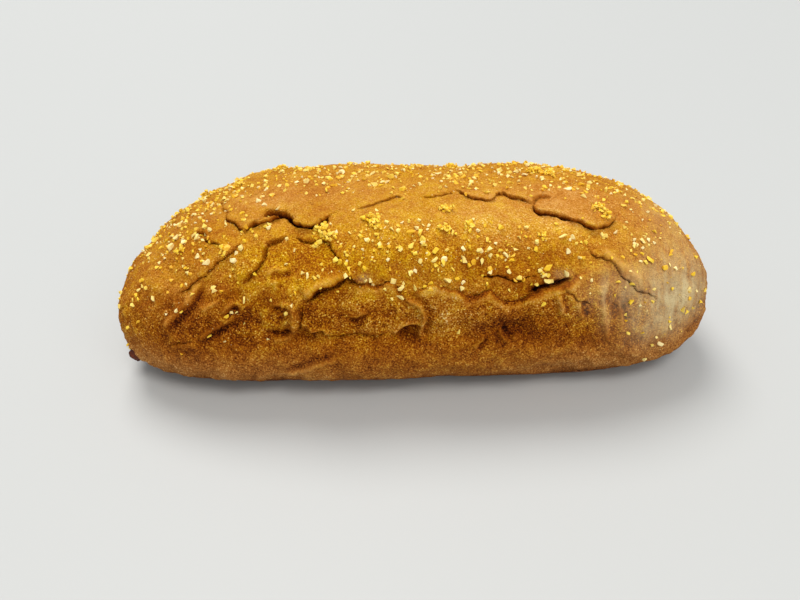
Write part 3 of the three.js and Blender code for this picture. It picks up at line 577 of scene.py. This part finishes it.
def crust(points, along, around):
    """The crust at points of the smooth form, with its marks for the material."""
    height = patches(SWELLS, along, around)
    for rise, length, width, shift in WAVES:
        turns = points[:, 0] / length + (points[:, 1] + points[:, 2]) / width
        height += rise * np.sin(2 * math.pi * turns + shift)
    slide, painted_shade, lip_rub_and_highlight = np.zeros_like(points), np.zeros(len(points)), np.zeros(len(points))
    fray = grain_field(points, FRAY_GRAIN, 3, 3)
    add_cracks(points, fray, height, slide, painted_shade, lip_rub_and_highlight)
    add_ridges(points, fray, height, painted_shade, lip_rub_and_highlight)

    crinkle = wrinkles(along, around)
    lumps = grain_field(points, LUMP_SIZE, 3, 1)
    lumps = lumps * (LUMP_HEIGHT + FRONT_LUMPS * smooth_step(around, *LUMPY_FROM))
    dents = grain_field(points, DENT_SIZE, 2, 6)
    dents = dents * (OTHER_DENTS + (1.0 - OTHER_DENTS) * smooth_step(around, *DENTED_FROM))
    pits = grain_field(points, SKIN_GRAIN, 2, 2)
    crumpled = patches(CRUMPLED, along, around)
    ridged = np.exp(-(CRUMPLE_SHARPNESS * grain_field(points, CRUMPLE_SIZE, 2, 8)) ** 2) * crumpled
    height += DENT_HEIGHT * dents + lumps + SKIN_HEIGHT * pits - WRINKLE_HEIGHT * crinkle + ridged
    low = smooth_step(points[:, 2], HEEL_BARE, HEEL_FULL)
    placed = points + outward(points) * (height * low)[:, None] + slide * low[:, None]

    # The tone: crust baked paler or darker, painted shade in dents and hollows, painted highlight on
    # lumps and ridges with painted shade between them, and a darker rim at the base, partly painted
    # shade.
    bake_and_shading = patches(BAKE_AND_SHADE_PATCHES, along, around) + LUMP_SHADING * lumps
    bake_and_shading += CRUMPLE_TONE * (ridged + crumpled * (CRUMPLE_DENTS * dents - CRUMPLE_SHADE))
    bake_and_shading -= RIM_TONE * (1.0 - smooth_step(placed[:, 2], RIM_DARK, RIM_PLAIN))
    flour = np.clip(patches(FLOUR_PATCHES, along, around), 0.0, 1.0)
    gold, coarse = (patches(listed, along, around) for listed in (GOLD_PATCHES, COARSE_PATCHES))
    marks = dict(painted_shade=painted_shade, lip_rub_and_highlight=lip_rub_and_highlight, crinkle=crinkle, bake_and_shading=bake_and_shading, flour=flour, gold=gold, coarse=coarse)
    return placed, marks


# ---- meshes ----
def place_piece(name, mesh, material):
    """A finished mesh, in metres, as a piece that stands on the loaf's body."""
    mesh.materials.append(material)
    piece = bpy.data.objects.new(name, mesh)
    bpy.context.scene.collection.objects.link(piece)
    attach(piece, "root")
    return piece


def finished(name, bm):
    """The mesh that a bmesh has become."""
    mesh = bpy.data.meshes.new(name)
    bm.to_mesh(mesh)
    bm.free()
    return mesh


def sphere_places(bm):
    """The place on the crust that each vertex of the unit sphere stands for."""
    co = np.array([v.co for v in bm.verts])
    side = np.arctan2(-co[:, 1], co[:, 2])
    around = np.degrees(side - SIDE_CROWDING * np.sin(side - math.radians(CROWDED_AT)))
    around = (around + 180.0) % 360.0 - 180.0
    along = even_rings(np.arccos(np.clip(co[:, 0], -1.0, 1.0)))
    return along, around


def split_skin(bm, reach, fine_part):
    """Splits the skin near the cracks and ridges, and also all over its fine part if wanted."""
    along, around = sphere_places(bm)
    points = form_points(along, around)
    close = fine_part & (around > FINE_FROM) & (around < FINE_TO)
    for *_, stations in laid_cracks + laid_ridges:
        near, distance, _, _ = measure(points, stations, reach)
        close[near[np.abs(distance) < reach]] = True
    bm.verts.index_update()
    edges = [e for e in bm.edges if close[e.verts[0].index] and close[e.verts[1].index]]
    bmesh.ops.subdivide_edges(bm, edges=edges, cuts=1, use_grid_fill=True)
    for vertex in bm.verts:
        vertex.co.normalize()


def make_crust(material):
    """The crust: a sphere with its poles at the tips, drawn out to the loaf and cut off flat
    at the base. Gives back its tree for the grits to land on."""
    bm = bmesh.new()
    bmesh.ops.create_uvsphere(bm, u_segments=RING_SIDES, v_segments=RINGS, radius=1.0)
    bmesh.ops.rotate(bm, verts=bm.verts, matrix=Matrix.Rotation(math.radians(90), 3, "Y"))
    for turn, reach in enumerate(FINE_REACHES):
        split_skin(bm, reach, fine_part=turn == 0)
    along, around = sphere_places(bm)
    placed, marks = crust(form_points(along, around), along, around)
    layers = {name: bm.verts.layers.float.new(name) for name in marks}
    for vertex, point, *values in zip(bm.verts, placed * MM, *marks.values()):
        vertex.co = point
        for layer, value in zip(layers.values(), values):
            vertex[layer] = value
    everything = bm.verts[:] + bm.edges[:] + bm.faces[:]
    cut = bmesh.ops.bisect_plane(bm, geom=everything, plane_co=(0, 0, 0), plane_no=(0, 0, -1),
                                 clear_outer=True, dist=1e-7)
    rim = [item for item in cut["geom_cut"] if isinstance(item, bmesh.types.BMEdge)]
    base = bmesh.ops.holes_fill(bm, edges=rim, sides=0)["faces"]
    bmesh.ops.triangulate(bm, faces=base)
    bmesh.ops.recalc_face_normals(bm, faces=bm.faces)
    for face in bm.faces:
        face.smooth = face.normal.z > -0.999  # the flat base keeps a sharp rim
    tree = BVHTree.FromBMesh(bm)
    piece = place_piece("crust", finished("crust", bm), material)
    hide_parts("loaf")
    return tree


# ---- grits ----
def chip(corner_count, flatness):
    """One broken grain about a unit in radius: the hull of a few scattered corners."""
    bm = bmesh.new()
    for _ in range(corner_count):
        spot = unit(dice.normal(size=3)) * dice.uniform(0.8, 1.1) * (1.0, 1.0, flatness)
        bmesh.ops.create_vert(bm, co=spot)
    hull = bmesh.ops.convex_hull(bm, input=bm.verts)
    inside = [item for item in hull["geom_interior"] if isinstance(item, bmesh.types.BMVert)]
    bmesh.ops.delete(bm, geom=inside, context="VERTS")
    bmesh.ops.recalc_face_normals(bm, faces=bm.faces)
    bm.verts.index_update()
    corners = np.array([vertex.co for vertex in bm.verts])
    sides = np.array([[vertex.index for vertex in face.verts] for face in bm.faces])
    bm.free()
    return corners, sides


def land(tree, along, around):
    """Where a ray towards the core line meets the crust at a place, with its normal."""
    point = form_points(np.array([along]), np.array([around]))[0]
    up = outward(point[None])[0]
    start = Vector((point + up * RAY_ABOVE) * MM)
    spot, normal, _, _ = tree.ray_cast(start, Vector(-up), RAY_LENGTH * MM)
    return (np.array(spot) / MM, np.array(normal)) if spot else None


def frame_about(normal, turn):
    """Two directions across a normal, turned about it, and the normal itself, as columns."""
    side = unit(np.cross(normal, ASKEW))
    other = np.cross(normal, side)
    first = side * math.cos(turn) + other * math.sin(turn)
    return np.stack([first, np.cross(normal, first), normal], axis=-1)


def join_chips(name, chips, kinds, material):
    """One piece of many chips. Each chip has its spot, normal, radius, lift and tint."""
    points, faces, tints = [], [], []
    count = 0
    for spot, normal, radius, lift, tint in chips:
        corners, sides = kinds[dice.integers(len(kinds))]
        lean = unit(normal + dice.normal(size=3) * GRIT_LEAN)
        stretch = radius * dice.uniform(*GRIT_STRETCH)
        turned = (corners * stretch) @ frame_about(lean, dice.uniform(0, 2 * math.pi)).T
        points.append(turned + spot + normal * lift)
        faces.append(sides + count)
        tints.append(np.full(len(corners), tint))
        count += len(corners)
    mesh = bpy.data.meshes.new(name)
    mesh.from_pydata(np.concatenate(points) * MM, [], np.concatenate(faces).tolist())
    mesh.attributes.new("tint", "FLOAT", "POINT").data.foreach_set("value", np.concatenate(tints))
    place_piece(name, mesh, material)


def strewn(share):
    """Random places, as thick on the crust as the grits' patches say, times a share."""
    along = dice.uniform(-LENGTH / 2, LENGTH / 2, STREWN_TRIALS)
    around = dice.uniform(-STREWN_ROUND, STREWN_ROUND, STREWN_TRIALS)
    points = form_points(along, around)
    before, after = form_points(along, around - 0.5), form_points(along, around + 0.5)
    girth = np.linalg.norm(after - before, axis=-1)  # surface length of a degree
    # The tips face along the loaf, so there the crust is longer than the step along it.
    slope = 1.0 / np.maximum(0.25, np.linalg.norm(outward(points)[:, 1:], axis=-1))
    cell = LENGTH * 2 * STREWN_ROUND / STREWN_TRIALS * girth * slope / MM2_PER_CM2
    thick = np.maximum(0.0, patches(GRIT_PATCHES, along, around))
    thick *= smooth_step(points[:, 2], GRIT_LOW, GRIT_FULL)
    chosen = dice.uniform(size=STREWN_TRIALS) < share * thick * cell
    return list(zip(along[chosen], around[chosen]))


def heap_of_meal(tree, along, around, reach):
    """The chips of one heap: each grain lies on the crust or on the grains it is dropped on."""
    heap, chips = [], []
    for _ in range(round(CLUMP_FILL * reach * reach)):
        turn = dice.uniform(0.0, 2 * math.pi)
        ragged = 1.0 + CLUMP_OVAL * math.sin(2 * turn + along) + CLUMP_STAR * math.sin(5 * turn + around)
        away = reach * ragged * dice.uniform() ** CLUMP_CROWDING
        away = away * np.array([math.cos(turn), math.sin(turn)])
        landed = land(tree, along + away[0], around + away[1] / DEGREE_LENGTH)
        radius = dice.uniform(*CLUMP_GRAIN)
        height = CLUMP_BED * radius
        for other, far, top in heap:
            both = radius + far
            overlap = 1.0 - (np.hypot(*(away - other)) / (CLUMP_NESTING * both)) ** 2
            if overlap > 0:
                height = max(height, top + CLUMP_STACKING * both * math.sqrt(overlap))
        if landed and height < CLUMP_HEIGHT:
            heap.append((away, radius, height))
            chips.append((*landed, radius, height, dice.uniform(*CLUMP_TINT)))
    return chips


def make_grits(tree, material):
    """Strews the grits and the fine meal, and sets the single grits and the heaps."""
    kinds = [chip(dice.integers(*GRIT_CORNERS), dice.uniform(*GRIT_FLATNESS)) for _ in range(GRIT_KINDS)]
    crumbs = [chip(MEAL_CORNERS, MEAL_FLATNESS) for _ in range(MEAL_KINDS)]
    grits = []
    for along, around in strewn(1.0):
        radius = GRIT_RADIUS * math.exp(GRIT_SPREAD * dice.normal())
        is_yellow = dice.uniform() < YELLOW_SHARE
        tint = dice.uniform(0.0, PALE_FROM) if is_yellow else dice.uniform(PALE_FROM, 1.0)
        grits.append((along, around, min(GRIT_LARGEST, max(GRIT_SMALLEST, radius)), tint))
    yellow, pale = [], []
    for along, around, radius, tint in grits + list(LONE_GRITS):
        landed = land(tree, along, around)
        if landed:
            (yellow if tint < PALE_FROM else pale).append((*landed, radius, radius * GRIT_LIFT, tint))
    join_chips("yellow_grits", yellow, kinds, material)
    join_chips("pale_grits", pale, kinds, material)
    meal = []
    for along, around in strewn(MEAL_PER_GRIT):
        landed = land(tree, along, around)
        radius = dice.uniform(*MEAL_RADIUS)
        if landed:
            meal.append((*landed, radius, radius * MEAL_LIFT, dice.uniform(0.0, 1.0)))
    join_chips("fine_meal", meal, crumbs, material)
    heaped = [grain for clump in CLUMPS for grain in heap_of_meal(tree, *clump)]
    join_chips("meal_clumps", heaped, kinds, material)


def make_nub(tree, material):
    """A burnt bit of dough stuck to the heel at the left tip."""
    spot, normal = land(tree, BURNT_NUB["along"], BURNT_NUB["around"])
    bm = bmesh.new()
    bmesh.ops.create_icosphere(bm, subdivisions=4, radius=1.0)
    centre = spot + normal * (BURNT_NUB["radius"] - BURNT_NUB["sunk"])
    for vertex in bm.verts:
        bump = 1.0 + BURNT_NUB["knobs"] * noise.fractal(vertex.co * 1.7, 0.8, 2.0, 4)
        vertex.co = Vector((centre + np.array(vertex.co) * BURNT_NUB["radius"] * bump) * MM)
    for face in bm.faces:
        face.smooth = True
    place_piece("burnt_nub", finished("burnt_nub", bm), material)


# ---- finishes ----
def start_finish(name, roughness, specular):
    """A new material with its node tree and its shader."""
    material = bpy.data.materials.new(name)
    material.use_nodes = True
    shader = material.node_tree.nodes["Principled BSDF"]
    shader.inputs["Roughness"].default_value = roughness
    shader.inputs["Specular IOR Level"].default_value = specular
    return material, material.node_tree, shader


def add_node(tree, kind, inputs, **settings):
    """A new node with its settings, each input either linked or set."""
    node = tree.nodes.new(kind)
    for name, value in settings.items():
        setattr(node, name, value)
    for name, value in inputs.items():
        if isinstance(value, bpy.types.NodeSocket):
            tree.links.new(value, node.inputs[name])
        else:
            node.inputs[name].default_value = value
    return node


def stretched(tree, where, scale):
    return add_node(tree, "ShaderNodeMapping", {"Vector": where, "Scale": scale}).outputs["Vector"]


def millimetres(tree):
    """Object coordinates in millimetres."""
    where = add_node(tree, "ShaderNodeTexCoord", {}).outputs["Object"]
    return stretched(tree, where, (1000, 1000, 1000))


def ranged(tree, value, come, go=(0.0, 1.0), **settings):
    """A value that runs between the two of `come`, drawn out to run between the two of `go`."""
    limits = {"From Min": come[0], "From Max": come[1], "To Min": go[0], "To Max": go[1]}
    node = add_node(tree, "ShaderNodeMapRange", {"Value": value, **limits}, **settings)
    return node.outputs["Result"]


def mottle(tree, where, size, detail, roughness=0.55):
    """Noise with grains of a size, drawn out to run from about -1 to 1."""
    grain = {"Vector": where, "Scale": 1.0 / size, "Detail": detail, "Roughness": roughness}
    grain = add_node(tree, "ShaderNodeTexNoise", grain).outputs["Fac"]
    return ranged(tree, grain, (0.3, 0.7), (-1.0, 1.0), clamp=False)


def mark(tree, name):
    """One of the marks that a mesh carries, by its name."""
    return add_node(tree, "ShaderNodeAttribute", {}, attribute_name=name).outputs["Fac"]


def sum_up(tree, start, *parts):
    """start + amount * value + ..., one multiply-add for each part."""
    total = start
    for amount, value in parts:
        total = add_node(tree, "ShaderNodeMath", {0: value, 1: amount, 2: total},
                         operation="MULTIPLY_ADD").outputs["Value"]
    return total


def multiply(tree, first, second, clamp=False):
    times = add_node(tree, "ShaderNodeMath", {0: first, 1: second}, operation="MULTIPLY", use_clamp=clamp)
    return times.outputs["Value"]


def colour_scale(tree, value, stops):
    """The colour for a value, from stops that each have a place and a colour."""
    ramp = add_node(tree, "ShaderNodeValToRGB", {"Fac": value})
    while len(ramp.color_ramp.elements) < len(stops):
        ramp.color_ramp.elements.new(0.5)
    for element, (place, colour) in zip(ramp.color_ramp.elements, stops):
        element.position = place
        element.color = (*colour, 1)
    return ramp.outputs["Color"]


def mix_colours(tree, share, low, high):
    """A share of the high colour over the low one. Each is linked, or set where it is plain."""
    mixer = add_node(tree, "ShaderNodeMix", {}, data_type="RGBA", clamp_factor=True)
    for index, value in ((MIX_SHARE, share), (MIX_LOW, low), (MIX_HIGH, high)):
        if isinstance(value, bpy.types.NodeSocket):
            tree.links.new(value, mixer.inputs[index])
        else:
            mixer.inputs[index].default_value = (*value, 1)
    return mixer.outputs[MIX_COLOUR]


# Colours of the crust from its darkest to its palest, for each of its hues.
ROSY = ((0.0, (0.022, 0.0036, 0.001)), (0.22, (0.128, 0.0225, 0.0025)), (0.48, (0.355, 0.097, 0.0045)),
        (0.70, (0.59, 0.234, 0.031)), (0.88, (0.78, 0.405, 0.12)), (1.0, (0.93, 0.68, 0.34)))
GOLDEN = ((0.0, (0.022, 0.0036, 0.0003)), (0.22, (0.122, 0.0195, 0.0005)), (0.48, (0.35, 0.095, 0.0008)),
          (0.70, (0.59, 0.274, 0.003)), (0.88, (0.79, 0.455, 0.017)), (1.0, (0.94, 0.71, 0.15)))
DUSKY = ((0.0, (0.03, 0.008, 0.002)), (0.22, (0.18, 0.058, 0.012)), (0.48, (0.405, 0.152, 0.032)),
         (0.70, (0.61, 0.30, 0.085)), (0.88, (0.78, 0.47, 0.20)), (1.0, (0.91, 0.69, 0.38)))
FLOUR = (0.66, 0.51, 0.27)
MAIZE = ((0.0, (0.80, 0.40, 0.008)), (0.25, (0.89, 0.575, 0.018)), (0.55, (0.91, 0.65, 0.10)),
         (0.8, (0.91, 0.70, 0.22)), (1.0, (0.92, 0.76, 0.37)))
# Grains of the crust's mottling: size in mm, detail, and roughness where it isn't the usual.
BROAD, MIDDLE, SMALL, FINE, STREAK = (34, 2), (6.5, 3), (1.9, 3, 0.7), (0.65, 2, 0.7), (2.2, 3)
STREAK_STRETCH = (1, 0.15, 0.15)  # the flour's streaks run down the crust
SPECKS_PER_MM, SPECK_EDGE = 1.05, (0.45, 0.12)  # where a speck fades in, and where it is full
DUSKY_BETWEEN = (31.0, 9.0)  # heights from which and to which the heel turns dusky
MIX_SHARE, MIX_LOW, MIX_HIGH, MIX_COLOUR = 0, 6, 7, 2  # sockets of the colour mix
BUMP_DEPTH = 0.0003  # of the finest grain, in metres


def crust_finish():
    """Browned crust: how palely it baked, with painted shade and painted highlight added, sets the tone,
    and its gold and its height the hue. The amounts in a sum say how far each part shifts it, on a scale
    from 0 to 1."""
    material, tree, shader = start_finish("baked crust", 0.85, 0.04)
    where = millimetres(tree)
    height = add_node(tree, "ShaderNodeSeparateXYZ", {"Vector": where}).outputs["Z"]
    risen = ranged(tree, height, (0.0, HEIGHT), interpolation_type="SMOOTHSTEP")
    broad, middle, small, fine = (mottle(tree, where, *grain) for grain in (BROAD, MIDDLE, SMALL, FINE))
    speck = {"Vector": where, "Scale": SPECKS_PER_MM}
    speck = ranged(tree, add_node(tree, "ShaderNodeTexVoronoi", speck).outputs["Distance"], SPECK_EDGE)
    lip_rub_and_highlight, gold = mark(tree, "lip_rub_and_highlight"), mark(tree, "gold")

    strength = sum_up(tree, 1.3, (-0.65, risen), (1.0, mark(tree, "coarse")), (-0.8, lip_rub_and_highlight))
    grain = sum_up(tree, -0.06, (0.07, small), (0.19, fine), (0.19, speck))
    # Painted shade darkens cuts, dips, the feet of steps and the floors of wrinkles, and a painted
    # highlight, partly paler rubbed crust, lifts lips and ridge crests.
    baked = sum_up(tree, 0.45, (0.25, risen), (0.05, broad), (0.06, middle),
                   (1.0, multiply(tree, grain, strength)), (1.0, mark(tree, "bake_and_shading")), (0.11, lip_rub_and_highlight),
                   (-0.07, mark(tree, "crinkle")), (-0.65, mark(tree, "painted_shade")))
    golden = sum_up(tree, 0.5, (1.0, gold), (0.25, middle), (-0.30, fine), (0.20, small), (-0.3, lip_rub_and_highlight))
    colour = mix_colours(tree, golden, colour_scale(tree, baked, ROSY), colour_scale(tree, baked, GOLDEN))

    streak = mottle(tree, stretched(tree, where, STREAK_STRETCH), *STREAK)
    uneven = sum_up(tree, 0.85, (0.16, small), (0.18, middle), (0.30, streak))
    dusted = multiply(tree, mark(tree, "flour"), uneven, clamp=True)
    colour = mix_colours(tree, dusted, colour, FLOUR)

    heel = ranged(tree, height, DUSKY_BETWEEN, interpolation_type="SMOOTHSTEP")
    dusky = multiply(tree, heel, sum_up(tree, 0.75, (-1.0, gold)), clamp=True)
    colour = mix_colours(tree, dusky, colour, colour_scale(tree, baked, DUSKY))
    tree.links.new(colour, shader.inputs["Base Color"])

    rough = sum_up(tree, 0.78, (0.08, small), (-0.04, broad))
    tree.links.new(rough, shader.inputs["Roughness"])
    relief = sum_up(tree, 0.0, (0.6, fine), (0.4, small))
    bump = {"Height": relief, "Strength": 1.0, "Distance": BUMP_DEPTH}
    bump = add_node(tree, "ShaderNodeBump", bump).outputs["Normal"]
    tree.links.new(bump, shader.inputs["Normal"])
    return material


def grit_finish():
    """Cracked maize: the tint that each grain carries sets its colour from yellow to pale."""
    material, tree, shader = start_finish("cracked maize", 0.5, 0.4)
    grain = mottle(tree, millimetres(tree), 0.9, 2)
    toned = sum_up(tree, 0.0, (1.0, mark(tree, "tint")), (0.10, grain))
    tree.links.new(colour_scale(tree, toned, MAIZE), shader.inputs["Base Color"])
    return material


def nub_finish():
    """Burnt dough: the dark end of the crust's colours."""
    material, tree, shader = start_finish("burnt dough", 0.6, 0.3)
    where = millimetres(tree)
    baked = sum_up(tree, 0.12, (0.06, mottle(tree, where, 2.0, 3)), (0.05, mottle(tree, where, 0.6, 2)))
    tree.links.new(colour_scale(tree, baked, ROSY), shader.inputs["Base Color"])
    return material


# ---- stage ----
EYE = (-0.4, -244.7, 174.0)  # where the photograph was taken from, in mm
EYE_PITCH, EYE_HEADING, EYE_ROLL = 33.4, 1.2, -2.05  # degrees below level, to the left, tilt
LENS, FILM = 27.05, 36.0
FLOOR_REACH, FLOOR_SHIFT = 4.0, 2.0  # half its side, and how far back it lies, in metres
FLOOR_COLOUR, SKY_COLOUR, SKY_STRENGTH = (0.50, 0.50, 0.49), (0.9, 0.97, 1.0), 0.48
# Lights: the direction from the loaf to each, its strength, width in degrees and colour.
LIGHTS = (
    ("window light", (-0.22, 0.52, 0.95), 2.2, 30, (1.0, 0.985, 0.96)),
    ("ceiling light", (0.2, -0.4, 0.9), 1.25, 25, (1.0, 0.99, 0.97)),
    ("room light", (0.62, -0.8, 0.42), 0.9, 50, (1.0, 0.98, 0.95)),
)


def set_camera():
    """The camera at the photograph's viewing angle."""
    data = bpy.data.cameras.new("camera")
    data.lens, data.sensor_width, data.clip_start = LENS, FILM, 0.01
    camera = bpy.data.objects.new("camera", data)
    turn = (Matrix.Rotation(math.radians(EYE_HEADING), 4, "Z")
            @ Matrix.Rotation(math.radians(90 - EYE_PITCH), 4, "X")
            @ Matrix.Rotation(math.radians(EYE_ROLL), 4, "Z"))
    camera.matrix_world = Matrix.Translation(Vector(EYE) * MM) @ turn
    bpy.context.scene.collection.objects.link(camera)
    bpy.context.scene.camera = camera


def set_light(name, towards, strength, width, colour):
    """A far, wide and soft light."""
    data = bpy.data.lights.new(name, "SUN")
    data.energy, data.angle, data.color = strength, math.radians(width), colour
    lamp = bpy.data.objects.new(name, data)
    lamp.rotation_euler = Vector(towards).to_track_quat("Z", "Y").to_euler()
    bpy.context.scene.collection.objects.link(lamp)


def set_stage():
    """A pale floor, an even sky and the lights."""
    bm = bmesh.new()
    bmesh.ops.create_grid(bm, x_segments=1, y_segments=1, size=FLOOR_REACH)
    bmesh.ops.translate(bm, verts=bm.verts, vec=(0, FLOOR_SHIFT, 0))
    material, _, shader = start_finish("pale floor", 0.6, 0.3)
    shader.inputs["Base Color"].default_value = (*FLOOR_COLOUR, 1)
    mesh = finished("floor", bm)
    mesh.materials.append(material)
    floor = bpy.data.objects.new("floor", mesh)
    bpy.context.scene.collection.objects.link(floor)
    world = bpy.data.worlds.new("room")
    world.use_nodes = True
    sky = world.node_tree.nodes["Background"].inputs
    sky["Color"].default_value = (*SKY_COLOUR, 1)
    sky["Strength"].default_value = SKY_STRENGTH
    bpy.context.scene.world = world
    for light in LIGHTS:
        set_light(*light)
    bpy.context.scene.view_settings.view_transform = "Standard"


# ---- making it ----
set_camera()
set_stage()
crust_tree = make_crust(crust_finish())
make_grits(crust_tree, grit_finish())
make_nub(crust_tree, nub_finish())
